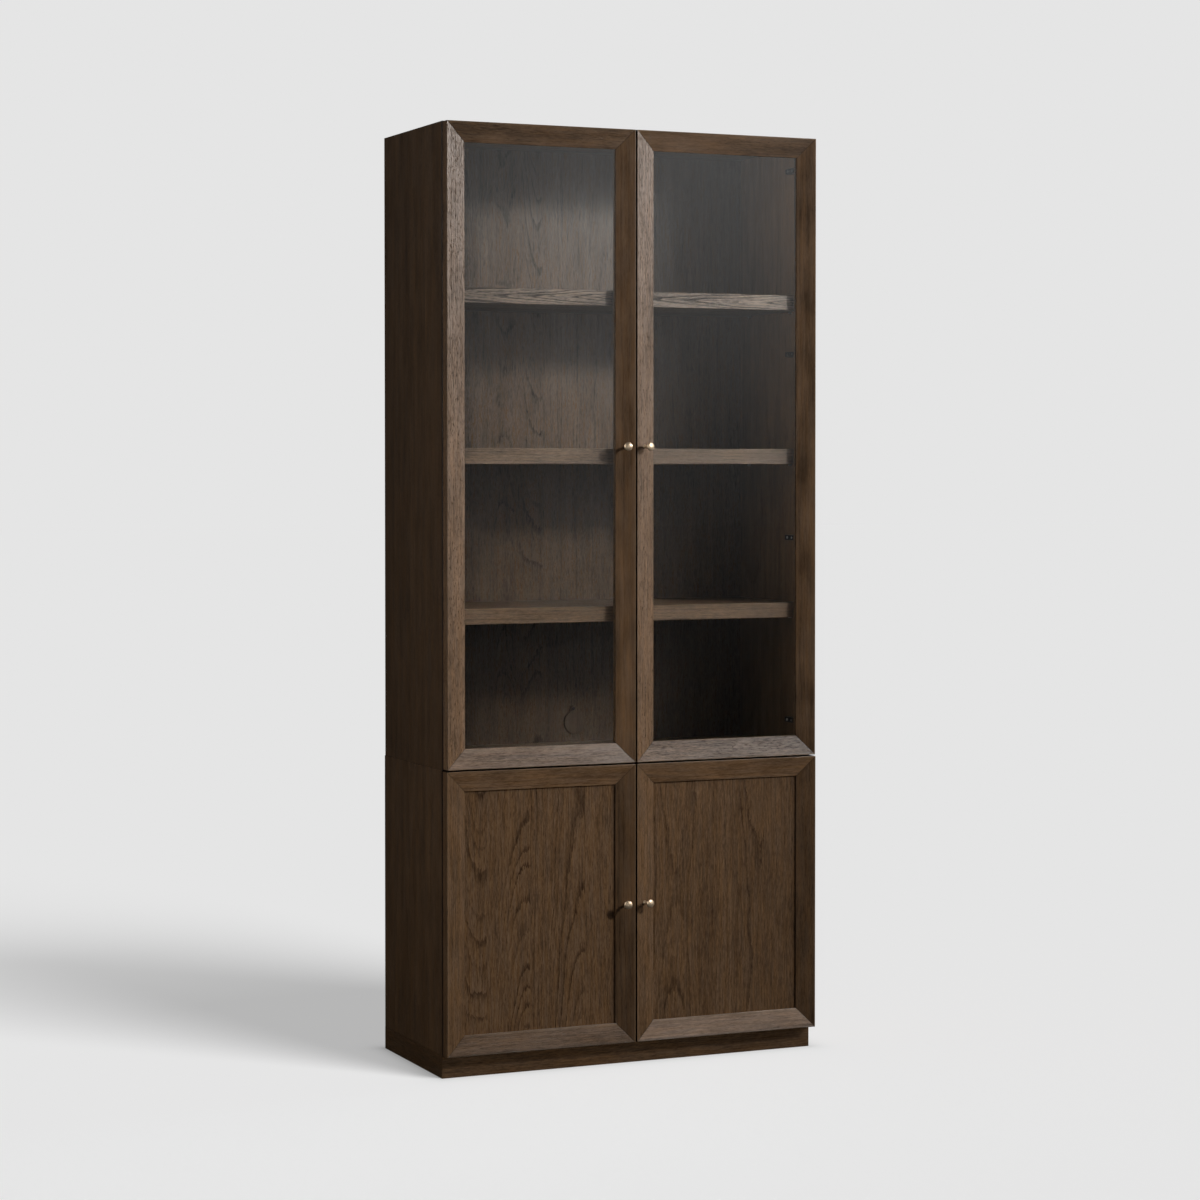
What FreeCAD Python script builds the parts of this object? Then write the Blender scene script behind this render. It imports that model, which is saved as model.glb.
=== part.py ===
import FreeCAD, Part
import math
import os

V = FreeCAD.Vector

# ----------------------------------------------------------------------------
# Tall two-part display cabinet: a glazed upper unit stands on a lower cupboard.
# Millimetres. X to the right, Y to the back, Z up. The origin is on the floor,
# in the middle of the box that holds the whole cabinet, knobs included.
# ----------------------------------------------------------------------------

# overall
W_UP = 1000.0            # width of the upper unit
W_LOW = 1003.0           # the lower unit and plinth are 1.5 mm wider each side
H_ALL = 2318.0           # floor to top
D_DOORS_TO_BACK = 447.0  # door face to the rear edges of the sides
KNOB_OUT = 23.0          # how far a knob stands out of the door face
Y_DOOR = -(D_DOORS_TO_BACK + KNOB_OUT) / 2 + KNOB_OUT   # plane of the door faces
Y_REAR = Y_DOOR + D_DOORS_TO_BACK                       # rear edges of the sides

# carcasses
T_PANEL = 22.0           # sides, tops and bottoms
DOOR_GAP_BACK = 3.0      # door back to carcass front
Z_PLINTH = 56.0
Z_JOIN = 750.0           # where the upper unit stands on the lower one
Y_CARC = Y_DOOR + 30.0 + DOOR_GAP_BACK
BACK_T = 16.0
Y_BACK = Y_DOOR + 385.0  # front face of both back panels
GROOVE = 7.0             # the back panels stand this deep in grooves
GROOVE_GAP = 0.4

# shelves
T_SHELF = 38.0
SHELF_TOPS = (1920.0, 1530.0, 1140.0)
LOW_SHELF_TOP = 422.0
Y_SHELF = Y_CARC         # the shelves end flush with the carcass edges
SHELF_PIN_R = 2.5
SHELF_PIN_IN = 9.0
SHELF_PIN_OUT = 7.5

# doors
DOOR_T = 30.0
FRAME_W = 49.5           # width of stiles and rails
BEVEL = 12.0             # the frame's face falls this far from its outer to its inner edge
REBATE_W = 8.0
GLASS_Y = 14.0           # rebate floor behind the glass doors' frames, measured back from the door face
PANEL_Y = 16.0           # the same behind the panelled doors' frames
GLASS_T = 4.0
PANEL_T = 9.0
GAP_MID = 4.0            # between a left and a right door
UP_DOOR_Z = (752.5, 2316.0)
LOW_DOOR_Z = (56.0, 748.5)
R_FRONT = 1.0            # rounding of the outer front edge
R_INNER = 0.7
R_BACK = 1.8             # rounding of the outer back edge, which turns past the carcass

# knobs
# they stand square on the bevelled faces of the lock stiles, in a frame whose
# -Y axis is the bevel's normal and whose origin is on the face
KNOB_X = 24.5            # foot, from the cabinet's middle
KNOB_R = 10.65
KNOB_HALF_DEPTH = 5.0
KNOB_RIM_R = 3.2         # radius of the head's rounded rim
KNOB_NECK_R = 3.5
KNOB_FOOT_R = 5.0
KNOB_TILT = math.atan2(BEVEL, FRAME_W)
UP_KNOB_Z = 1535.0
LOW_KNOB_Z = 402.0

# concealed hinges, in a frame at the door's outer back corner:
# hx inwards from the door edge, hy back from the door's back plane
HINGE_PIN = (7.5, -7.5)  # the turning axis
HINGE_PIN_R = 1.25
HINGE_CLEAR = 0.05       # running clearance of the pin in the cup's lugs
CUP_X = 20.5
CUP_R = 17.5
CUP_WALL = 0.9
CUP_DEEP = 12.5
ARM_SCREWS = (31.5, 55.0)   # hy of the side-adjusting and the fixing screw
PLATE_SCREWS = (20.0, 64.5)   # hy of the two screws that hold the plate on the carcass side
UP_HINGES = (836.5, 1304.0, 1772.0, 2239.5)
LOW_HINGES = (146.0, 658.5)

# cable port in the upper back panel
PORT_Z = 822.0
PORT_R = 25.0
COVER_R = 31.0
COVER_PIVOT = (-6.0, 858.0)   # X and Z of the screw that the cover hangs on
COVER_ARM = 35.5              # screw to disc centre
COVER_ASKEW = 8.0             # the disc hangs this many degrees to the right of straight down
COVER_TAB_R = 9.5
COVER_T = 3.0
COVER_GAP = 0.3

os.makedirs("parts", exist_ok=True)
NODES = {}


def box(x0, x1, y0, y1, z0, z1):
    return Part.makeBox(x1 - x0, y1 - y0, z1 - z0, V(x0, y0, z0))


def soft_box(x0, x1, y0, y1, z0, z1, r, pick):
    """A board whose edges chosen by pick(mid point, direction) are rounded by r."""
    b = box(x0, x1, y0, y1, z0, z1)
    edges = []
    for e in b.Edges:
        a, c = e.Vertexes[0].Point, e.Vertexes[1].Point
        d = c - a
        along = "X" if abs(d.x) > 1e-6 else ("Y" if abs(d.y) > 1e-6 else "Z")
        if pick((a + c) * 0.5, along):
            edges.append(e)
    return b.makeFillet(r, edges) if edges else b


def cyl(r, p0, p1):
    d = V(*p1) - V(*p0)
    return Part.makeCylinder(r, d.Length, V(*p0), d)


def keep(name, *shapes):
    """Writes one piece, or a group of identical pieces, as one node."""
    solids = []
    for s in shapes:
        solids += s.Solids
    for s in solids:
        assert s.isValid() and s.Volume > 0, name
    shape = solids[0] if len(solids) == 1 else Part.makeCompound(solids)
    shape.exportStep("parts/" + name + ".step")
    NODES[name] = shape


def near(a, b):
    return abs(a - b) < 1e-3


# ----------------------------------------------------------------------------
# door frame members
# ----------------------------------------------------------------------------
def corner(prev, p, nxt, r):
    """Two tangent points and the middle of a rounding of radius r at p."""
    p, a, b = V(p[0], p[1], 0), V(prev[0], prev[1], 0), V(nxt[0], nxt[1], 0)
    da, db = (a - p).normalize(), (b - p).normalize()
    half = da.getAngle(db) / 2
    t = r / math.tan(half)
    bis = (da + db).normalize()
    centre = p + bis * (r / math.sin(half))
    return p + da * t, centre - bis * r, p + db * t


def profile(points):
    """A closed face from (u, v, radius) points."""
    n = len(points)
    parts = []
    for i in range(n):
        p, r = points[i], points[i][2]
        if r:
            parts.append(corner(points[i - 1], p, points[(i + 1) % n], r))
        else:
            q = V(p[0], p[1], 0)
            parts.append((q, None, q))
    edges = []
    for i in range(n):
        a, m, b = parts[i]
        if m is not None:
            edges.append(Part.Arc(a, m, b).toShape())
        nxt = parts[(i + 1) % n][0]
        edges.append(Part.makeLine(b, nxt))
    return Part.Face(Part.Wire(edges))


def frame_points(rebate_y):
    return (
        (0, DOOR_T, R_BACK),
        (0, 0, R_FRONT),
        (FRAME_W, BEVEL, R_INNER),
        (FRAME_W, rebate_y, 0),
        (FRAME_W - REBATE_W, rebate_y, 0),
        (FRAME_W - REBATE_W, DOOR_T, 0),
    )


def mitred(points, width, length, deep):
    """A moulding along +Z with both ends mitred towards its inner edge."""
    bar = profile(points).extrude(V(0, 0, length))

    def wedge(pts):
        w = Part.makePolygon([V(x, -5, z) for x, z in pts + pts[:1]])
        return Part.Face(w).extrude(V(0, deep + 10, 0))

    e = 5.0
    low = wedge([(-e, -e), (width + e, width + e), (width + e, -2 * e), (-e, -2 * e)])
    high = wedge([(-e, length + e), (-e, length + 2 * e), (width + e, length + 2 * e), (width + e, length - width - e)])
    return bar.cut(low).cut(high)


def place(shape, turn, x, y, z):
    s = shape.copy()
    s.Placement = FreeCAD.Placement(V(x, y, z), FreeCAD.Rotation(V(0, 1, 0), turn))
    return s


def frame_members(x0, x1, z0, z1, y, points, inset=0.0, width=FRAME_W, deep=DOOR_T):
    """Left stile, right stile, top rail, bottom rail of a mitred frame."""
    x0, x1, z0, z1 = x0 + inset, x1 - inset, z0 + inset, z1 - inset
    tall = mitred(points, width, z1 - z0, deep)
    wide = mitred(points, width, x1 - x0, deep)
    return (
        place(tall, 0, x0, y, z0),
        place(tall, 180, x1, y, z1),
        place(wide, 90, x0, y, z1),
        place(wide, -90, x1, y, z0),
    )


# ----------------------------------------------------------------------------
# hinge pieces, drawn for a door hung on its left edge
# ----------------------------------------------------------------------------
def bar(p, q, t, half):
    """A flat strip of thickness t from p to q in the hx-hy plane, half wide each way in Z."""
    dx, dy = q[0] - p[0], q[1] - p[1]
    length = math.hypot(dx, dy)
    b = Part.makeBox(length, t, 2 * half, V(0, -t / 2, -half))
    b.Placement = FreeCAD.Placement(V(p[0], p[1], 0), FreeCAD.Rotation(V(0, 0, 1), math.degrees(math.atan2(dy, dx))))
    return b


def hinge_cup():
    body = cyl(CUP_R, (CUP_X, -CUP_DEEP, 0), (CUP_X, 0, 0))
    wings = box(12.5, 28.5, 0, 1.0, -32, 32)
    wings = wings.makeFillet(3.0, [e for e in wings.Edges if near(e.Vertexes[0].Point.x, e.Vertexes[1].Point.x) and near(e.Vertexes[0].Point.z, e.Vertexes[1].Point.z)])
    s = body.fuse(wings)
    s = s.cut(cyl(CUP_R - CUP_WALL, (CUP_X, -CUP_DEEP + 0.8, 0), (CUP_X, 5, 0)))
    room = cyl(CUP_R - CUP_WALL / 2, (CUP_X, -CUP_DEEP + 0.4, 0), (CUP_X, -1, 0))
    for side in (-1, 1):
        lug = box(2.0, 11.2, -CUP_DEEP + 0.4, -4.0, min(side * 5.3, side * 7.5), max(side * 5.3, side * 7.5))
        s = s.fuse(lug.common(room))
    s = s.cut(cyl(HINGE_PIN_R + HINGE_CLEAR, (HINGE_PIN[0], HINGE_PIN[1], -8.5), (HINGE_PIN[0], HINGE_PIN[1], 8.5)))
    for z in (-24, 24):
        s = s.cut(cyl(2.0, (CUP_X, -1, z), (CUP_X, 2, z)))
    return s.removeSplitter()


def cup_screw(z):
    head = cyl(3.6, (CUP_X, 1.0, z), (CUP_X, 2.1, z))
    head = head.makeFillet(0.6, [e for e in head.Edges if near(e.BoundBox.YMin, 2.1) and near(e.BoundBox.YMax, 2.1)])
    return head.fuse(cyl(1.6, (CUP_X, -9.0, z), (CUP_X, 1.0, z))).removeSplitter()


def hinge_arm():
    t = 2.4
    path = [(HINGE_PIN[0], HINGE_PIN[1]), (21.8, -10.0), (27.6, -4.2), (27.6, 10.0)]
    s = cyl(2.7, (path[0][0], path[0][1], -4.5), (path[0][0], path[0][1], 4.5))
    for i in range(3):
        s = s.fuse(bar(path[i], path[i + 1], t, 4.5))
        if i:
            s = s.fuse(cyl(t / 2, (path[i][0], path[i][1], -4.5), (path[i][0], path[i][1], 4.5)))
    # open-backed channel over the mounting plate
    ch = soft_box(25.2, 37.0, 8.8, 70.0, -6.5, 6.5, 1.6,
                  lambda m, a: near(m.x, 37.0) or (a == "X" and near(m.y, 70.0)))
    ch = ch.cut(box(20, 35.4, 12.0, 80, -5.0, 5.0))
    s = s.fuse(ch)
    s = s.cut(cyl(HINGE_PIN_R, (path[0][0], path[0][1], -9), (path[0][0], path[0][1], 9)))
    for y in ARM_SCREWS:
        s = s.cut(cyl(2.1, (30, y, 0), (40, y, 0)))
    return s.removeSplitter()


def hinge_plate():
    """A straight plate, hidden under the arm, with a block for the arm's screws."""
    s = box(22, 24.6, 14, 69.5, -6.5, 6.5)
    s = s.makeFillet(3.0, [e for e in s.Edges if near(e.Vertexes[0].Point.y, e.Vertexes[1].Point.y) and near(e.Vertexes[0].Point.z, e.Vertexes[1].Point.z)])
    s = s.fuse(box(24.6, 34.6, 27, 60, -4.6, 4.6))
    for y in ARM_SCREWS:
        s = s.cut(cyl(2.0, (27, y, 0), (36, y, 0)))
    for y in PLATE_SCREWS:
        s = s.cut(cyl(2.1, (20, y, 0), (26, y, 0)))
    return s.removeSplitter()


def arm_screw(y, r):
    head = cyl(r, (37.0, y, 0), (38.6, y, 0))
    head = head.makeFillet(0.7, [e for e in head.Edges if near(e.BoundBox.XMin, 38.6) and near(e.BoundBox.XMax, 38.6)])
    s = head.fuse(cyl(2.0, (28.5, y, 0), (37.0, y, 0)))
    m = r - 0.8
    s = s.cut(box(38.0, 39.0, y - m, y + m, -0.5, 0.5)).cut(box(38.0, 39.0, y - 0.5, y + 0.5, -m, m))
    return s.removeSplitter()


def plate_screw(y):
    head = cyl(3.4, (24.6, y, 0), (26.2, y, 0))
    head = head.makeFillet(0.7, [e for e in head.Edges if near(e.BoundBox.XMin, 26.2) and near(e.BoundBox.XMax, 26.2)])
    return head.fuse(cyl(1.9, (10.0, y, 0), (24.6, y, 0))).removeSplitter()


def hinge_pin():
    return cyl(HINGE_PIN_R, (HINGE_PIN[0], HINGE_PIN[1], -7.5), (HINGE_PIN[0], HINGE_PIN[1], 7.5))


def hung(shape, left, edge_x, z):
    """Puts a hinge piece at a door edge. Right-hand doors use the same pieces turned over."""
    return place(shape, 0 if left else 180, edge_x, Y_DOOR + DOOR_T, z)


CUP, ARM, PLATE, PIN = hinge_cup(), hinge_arm(), hinge_plate(), hinge_pin()
CUP_SCREWS = [cup_screw(-24), cup_screw(24)]
ROOT_SCREWS = [arm_screw(ARM_SCREWS[0], 2.8), arm_screw(ARM_SCREWS[1], 3.6), plate_screw(PLATE_SCREWS[0]), plate_screw(PLATE_SCREWS[1])]
root_arms, root_plates, root_pins, root_screws = [], [], [], []


# ----------------------------------------------------------------------------
# knobs
# ----------------------------------------------------------------------------
def on_bevel(shape, left, z):
    """Moves a knob piece from its own frame onto the bevel of a lock stile."""
    sx = -1 if left else 1
    s = shape.copy()
    y = Y_DOOR + (KNOB_X - GAP_MID / 2) * math.tan(KNOB_TILT)
    s.Placement = FreeCAD.Placement(V(sx * KNOB_X, y, z), FreeCAD.Rotation(V(0, 0, 1), sx * math.degrees(KNOB_TILT)))
    return s


def knob():
    """Turned knob along -Y with a blind tapped hole in its neck."""
    # the head's outline is an oval of tangent arcs: face, rim, back
    c = KNOB_R - KNOB_RIM_R
    d = KNOB_HALF_DEPTH - KNOB_RIM_R
    k = (c * c - d * d) / (2 * d)
    big = KNOB_HALF_DEPTH + k
    turn = math.atan2(k, c)
    # the head's foremost point is KNOB_OUT in front of the door face
    foremost = big - k * math.cos(KNOB_TILT)
    y_foot = (KNOB_X - GAP_MID / 2) * math.tan(KNOB_TILT)
    y1 = -(KNOB_OUT - foremost + y_foot) / math.cos(KNOB_TILT)
    r0, rf = KNOB_NECK_R, KNOB_FOOT_R

    def at(sign, a):
        return V(big * math.cos(a), y1 - sign * k + sign * big * math.sin(a), 0)

    a0 = math.acos(r0 / big)
    top = V(0, y1 - KNOB_HALF_DEPTH, 0)
    face_arc = Part.Arc(top, at(-1, (turn + math.pi / 2) / 2), at(-1, turn)).toShape()
    rim_arc = Part.Arc(at(-1, turn), V(KNOB_R, y1, 0), at(1, turn)).toShape()
    back_arc = Part.Arc(at(1, turn), at(1, (turn + a0) / 2), at(1, a0)).toShape()
    pts = [at(1, a0), V(r0, -4.5, 0), V(rf, -2.0, 0), V(rf, 0, 0), V(0, 0, 0), top]
    edges = [face_arc, rim_arc, back_arc] + [Part.makeLine(pts[i], pts[i + 1]) for i in range(len(pts) - 1)]
    face = Part.Face(Part.Wire(edges))
    s = face.revolve(V(0, 0, 0), V(0, 1, 0), 360)
    s = s.cut(cyl(2.0, (0, -12.0, 0), (0, 1, 0)))
    if s.Volume < 0:
        s.reverse()
    return s


KNOB_SCREW_SEAT = 21.0   # the screw's head bears on this plane, in a counterbore of the stile's back


def knob_holes():
    return [cyl(2.3, (0, -1, 0), (0, 45, 0)), cyl(4.6, (0, KNOB_SCREW_SEAT, 0), (0, 45, 0))]


def knob_screw():
    y0 = KNOB_SCREW_SEAT
    head = cyl(4.0, (0, y0, 0), (0, y0 + 2.2, 0))
    head = head.makeFillet(0.8, [e for e in head.Edges if near(e.BoundBox.YMin, y0 + 2.2) and near(e.BoundBox.YMax, y0 + 2.2)])
    s = head.fuse(cyl(2.0, (0, -10.0, 0), (0, y0, 0)))
    s = s.cut(box(-2.6, 2.6, y0 + 1.2, y0 + 3, -0.5, 0.5)).cut(box(-0.5, 0.5, y0 + 1.2, y0 + 3, -2.6, 2.6))
    return s.removeSplitter()


# ----------------------------------------------------------------------------
# one door
# ----------------------------------------------------------------------------
def make_door(name, left, half_w, zs, hinge_zs, knob_z, glazed):
    z0, z1 = zs
    x0, x1 = (-half_w, -GAP_MID / 2) if left else (GAP_MID / 2, half_w)
    edge_x = x0 if left else x1
    rebate_y = GLASS_Y if glazed else PANEL_Y
    lst, rst, top, bot = frame_members(x0, x1, z0, z1, Y_DOOR, frame_points(rebate_y))
    hinge_stile, lock_stile = (lst, rst) if left else (rst, lst)

    cups = []
    s = 1 if left else -1
    for z in hinge_zs:
        cx = edge_x + s * CUP_X
        yb = Y_DOOR + DOOR_T
        hinge_stile = hinge_stile.cut(cyl(CUP_R, (cx, yb - CUP_DEEP, z), (cx, yb + 5, z)))
        for dz in (-24, 24):
            hinge_stile = hinge_stile.cut(cyl(1.6, (cx, yb - 9.0, z + dz), (cx, yb + 5, z + dz)))
        cups.append(hung(CUP, left, edge_x, z))
        cups += [hung(c, left, edge_x, z) for c in CUP_SCREWS]
        root_arms.append(hung(ARM, left, edge_x, z))
        root_pins.append(hung(PIN, left, edge_x, z))
        root_plates.append(hung(PLATE, left, edge_x, z))
        root_screws.extend(hung(c, left, edge_x, z) for c in ROOT_SCREWS)

    for hole in knob_holes():
        lock_stile = lock_stile.cut(on_bevel(hole, left, knob_z))

    keep(name + "_hinge_stile", hinge_stile)
    keep(name + "_lock_stile", lock_stile)
    keep(name + "_top_rail", top)
    keep(name + "_bottom_rail", bot)
    keep(name + "_knob", on_bevel(knob(), left, knob_z))
    keep(name + "_knob_screw", on_bevel(knob_screw(), left, knob_z))
    keep(name + "_hinge_cups", *cups)

    inset = FRAME_W - REBATE_W + 0.5
    yr = Y_DOOR + rebate_y
    if glazed:
        keep(name + "_glass", box(x0 + inset, x1 - inset, yr, yr + GLASS_T, z0 + inset, z1 - inset))
        bead_t = DOOR_T - rebate_y - GLASS_T
        bead = ((0.3, bead_t, 0), (0.3, 0, 0), (REBATE_W, 0, 0), (REBATE_W, bead_t - 2.0, 0.5), (REBATE_W - 2.0, bead_t, 0.5))
        keep(name + "_glass_beads", *frame_members(x0, x1, z0, z1, yr + GLASS_T, bead, FRAME_W - REBATE_W, REBATE_W, bead_t))
    else:
        keep(name + "_panel", box(x0 + inset, x1 - inset, yr, yr + PANEL_T, z0 + inset, z1 - inset))


make_door("upper_left_door", True, W_UP / 2, UP_DOOR_Z, UP_HINGES, UP_KNOB_Z, True)
make_door("upper_right_door", False, W_UP / 2, UP_DOOR_Z, UP_HINGES, UP_KNOB_Z, True)
make_door("lower_left_door", True, W_LOW / 2, LOW_DOOR_Z, LOW_HINGES, LOW_KNOB_Z, False)
make_door("lower_right_door", False, W_LOW / 2, LOW_DOOR_Z, LOW_HINGES, LOW_KNOB_Z, False)


# ----------------------------------------------------------------------------
# carcasses
# ----------------------------------------------------------------------------
def carcass(name, half_w, z0, z1, shelf_tops, hinge_zs):
    inner = half_w - T_PANEL
    gy0, gy1 = Y_BACK - GROOVE_GAP / 2, Y_BACK + BACK_T + GROOVE_GAP / 2

    def side(s):
        xo, xi = s * half_w, s * inner
        b = soft_box(min(xo, xi), max(xo, xi), Y_CARC, Y_REAR, z0, z1, 0.8,
                     lambda m, a: near(m.x, xo) or (a == "Z" and near(m.y, Y_CARC)))
        gx = (xi, xi + s * GROOVE)
        b = b.cut(box(min(gx) - (1 if s > 0 else 0), max(gx) + (1 if s < 0 else 0), gy0, gy1, z0 + T_PANEL - GROOVE, z1 - T_PANEL + GROOVE))
        for zt in shelf_tops:
            for y in (Y_SHELF + 60, Y_BACK - 60):
                zc = zt - T_SHELF - SHELF_PIN_R
                b = b.cut(cyl(SHELF_PIN_R, (xi - s, y, zc), (xi + s * SHELF_PIN_IN, y, zc)))
        for z in hinge_zs:
            for deep in PLATE_SCREWS:
                y = Y_DOOR + DOOR_T + deep
                b = b.cut(cyl(1.9, (xi - s, y, z), (xi + s * 12.0, y, z)))
        return b

    def flat(za, zb, groove_up):
        b = box(-inner, inner, Y_CARC, Y_REAR, za, zb)
        b = b.makeFillet(0.8, [e for e in b.Edges if near(e.Vertexes[0].Point.y, Y_CARC) and near(e.Vertexes[1].Point.y, Y_CARC) and abs(e.Vertexes[0].Point.x - e.Vertexes[1].Point.x) > 1])
        g = (zb - GROOVE, zb + 1) if groove_up else (za - 1, za + GROOVE)
        return b.cut(box(-inner - 1, inner + 1, gy0, gy1, *g))

    keep(name + "_left_side", side(-1))
    keep(name + "_right_side", side(1))
    top = flat(z1 - T_PANEL, z1, False)
    bottom = flat(z0, z0 + T_PANEL, True)
    back = box(-inner - GROOVE + 0.4, inner + GROOVE - 0.4, Y_BACK, Y_BACK + BACK_T, z0 + T_PANEL - GROOVE + 0.4, z1 - T_PANEL + GROOVE - 0.4)
    return top, bottom, back


up_top, up_bottom, up_back = carcass("upper", W_UP / 2, Z_JOIN, H_ALL, SHELF_TOPS, UP_HINGES)
low_top, low_bottom, low_back = carcass("lower", W_LOW / 2, Z_PLINTH, Z_JOIN, (LOW_SHELF_TOP,), LOW_HINGES)

# bolts that hold the upper unit on the lower one: heads inside the lower unit
bolts = []
for x in (-400.0, 400.0):
    for y in (Y_CARC + 70, Y_BACK - 50):
        z = Z_JOIN - T_PANEL
        hole = cyl(3.0, (x, y, z - 1), (x, y, Z_JOIN + 16))
        low_top = low_top.cut(hole)
        up_bottom = up_bottom.cut(hole)
        head = cyl(7.0, (x, y, z - 2.5), (x, y, z))
        head = head.makeFillet(1.2, [e for e in head.Edges if near(e.BoundBox.ZMin, z - 2.5) and near(e.BoundBox.ZMax, z - 2.5)])
        bolts.append(head.fuse(cyl(3.0, (x, y, z), (x, y, Z_JOIN + 16))).removeSplitter())

# the cable port and the pilot hole of its cover's screw
pivot_x, pivot_z = COVER_PIVOT
up_back = up_back.cut(cyl(PORT_R, (0, Y_BACK - 1, PORT_Z), (0, Y_BACK + BACK_T + 1, PORT_Z)))
up_back = up_back.cut(cyl(2.0, (pivot_x, Y_BACK - 1, pivot_z), (pivot_x, Y_BACK + 12, pivot_z)))

keep("upper_top", up_top)
keep("upper_bottom", up_bottom)
keep("upper_back_panel", up_back)
keep("lower_top", low_top)
keep("lower_bottom", low_bottom)
keep("lower_back_panel", low_back)
keep("unit_joining_bolts", *bolts)

# swivelling cover of the cable port: a disc with a tab that hangs on one screw
yc1 = Y_BACK - COVER_GAP
yc0 = yc1 - COVER_T
askew = math.radians(COVER_ASKEW)
disc_x, disc_z = pivot_x + COVER_ARM * math.sin(askew), pivot_z - COVER_ARM * math.cos(askew)
disc = cyl(COVER_R, (disc_x, yc0, disc_z), (disc_x, yc1, disc_z))
tab = cyl(COVER_TAB_R, (pivot_x, yc0, pivot_z), (pivot_x, yc1, pivot_z))
cover = disc.fuse(tab).removeSplitter()
front_edges = [e for e in cover.Edges if near(e.BoundBox.YMin, yc0) and near(e.BoundBox.YMax, yc0)]
cover = cover.makeChamfer(0.6, front_edges)
cover = cover.cut(cyl(2.05, (pivot_x, yc0 - 1, pivot_z), (pivot_x, yc1 + 1, pivot_z)))
keep("cable_port_cover", cover)
ys = yc0 - 0.2
head = cyl(4.3, (pivot_x, ys - 2.0, pivot_z), (pivot_x, ys, pivot_z))
head = head.makeFillet(1.2, [e for e in head.Edges if near(e.BoundBox.YMin, ys - 2.0) and near(e.BoundBox.YMax, ys - 2.0)])
screw = head.fuse(cyl(2.0, (pivot_x, ys, pivot_z), (pivot_x, Y_BACK + 12, pivot_z)))
screw = screw.cut(box(pivot_x - 2.6, pivot_x + 2.6, ys - 3, ys - 1.2, pivot_z - 0.5, pivot_z + 0.5))
screw = screw.cut(box(pivot_x - 0.5, pivot_x + 0.5, ys - 3, ys - 1.2, pivot_z - 2.6, pivot_z + 2.6))
keep("cable_port_cover_screw", screw.removeSplitter())


# ----------------------------------------------------------------------------
# shelves and their pins
# ----------------------------------------------------------------------------
def shelf(half_w, ztop):
    inner = half_w - T_PANEL - 0.5
    y1 = Y_BACK - 0.8
    return soft_box(-inner, inner, Y_SHELF, y1, ztop - T_SHELF, ztop, 0.8,
                    lambda m, a: a == "X" and near(m.y, Y_SHELF))


pins = []
for half_w, tops in ((W_UP / 2, SHELF_TOPS), (W_LOW / 2, (LOW_SHELF_TOP,))):
    for zt in tops:
        for s in (-1, 1):
            xi = s * (half_w - T_PANEL)
            for y in (Y_SHELF + 60, Y_BACK - 60):
                zc = zt - T_SHELF - SHELF_PIN_R
                pins.append(cyl(SHELF_PIN_R, (xi - s * SHELF_PIN_OUT, y, zc), (xi + s * SHELF_PIN_IN, y, zc)))
keep("upper_shelf_top", shelf(W_UP / 2, SHELF_TOPS[0]))
keep("upper_shelf_middle", shelf(W_UP / 2, SHELF_TOPS[1]))
keep("upper_shelf_bottom", shelf(W_UP / 2, SHELF_TOPS[2]))
keep("lower_shelf", shelf(W_LOW / 2, LOW_SHELF_TOP))
keep("shelf_pins", *pins)

# ----------------------------------------------------------------------------
# plinth: a front board mitred to two side boards, and a rear rail between them
# ----------------------------------------------------------------------------
hw = W_LOW / 2
yf = Y_CARC + 3.3
front = box(-hw, hw, yf, yf + T_PANEL, 0, Z_PLINTH)
sides = [box(-hw, -hw + T_PANEL, yf, Y_REAR, 0, Z_PLINTH), box(hw - T_PANEL, hw, yf, Y_REAR, 0, Z_PLINTH)]


def wedge(pts):
    w = Part.makePolygon([V(x, y, -5) for x, y in pts + pts[:1]])
    return Part.Face(w).extrude(V(0, 0, Z_PLINTH + 10))


for s in (-1, 1):
    # behind the mitre line the front board ends; in front of it the side board does
    behind = wedge([(s * (hw + 5), yf - 5), (s * (hw - T_PANEL - 5), yf + T_PANEL + 5), (s * (hw + 5), yf + T_PANEL + 5)])
    ahead = wedge([(s * (hw + 5), yf - 5), (s * (hw - T_PANEL - 5), yf + T_PANEL + 5), (s * (hw - T_PANEL - 5), yf - 5)])
    front = front.cut(behind)
    i = 0 if s < 0 else 1
    sides[i] = sides[i].cut(ahead)


keep("plinth_front", front)
keep("plinth_sides", *sides)
keep("plinth_back", box(-hw + T_PANEL, hw - T_PANEL, Y_BACK, Y_BACK + T_PANEL, 0, Z_PLINTH))

# hinge pieces that stay on the carcass
keep("hinge_arms", *root_arms)
keep("hinge_plates", *root_plates)
keep("hinge_pins", *root_pins)
keep("hinge_screws", *root_screws)

print(len(NODES), "nodes,", sum(len(s.Solids) for s in NODES.values()), "solids")
bb = FreeCAD.BoundBox()
for s in NODES.values():
    bb.add(s.BoundBox)
print("box", [round(v, 2) for v in (bb.XMin, bb.XMax, bb.YMin, bb.YMax, bb.ZMin, bb.ZMax)])
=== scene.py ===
import math

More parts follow.
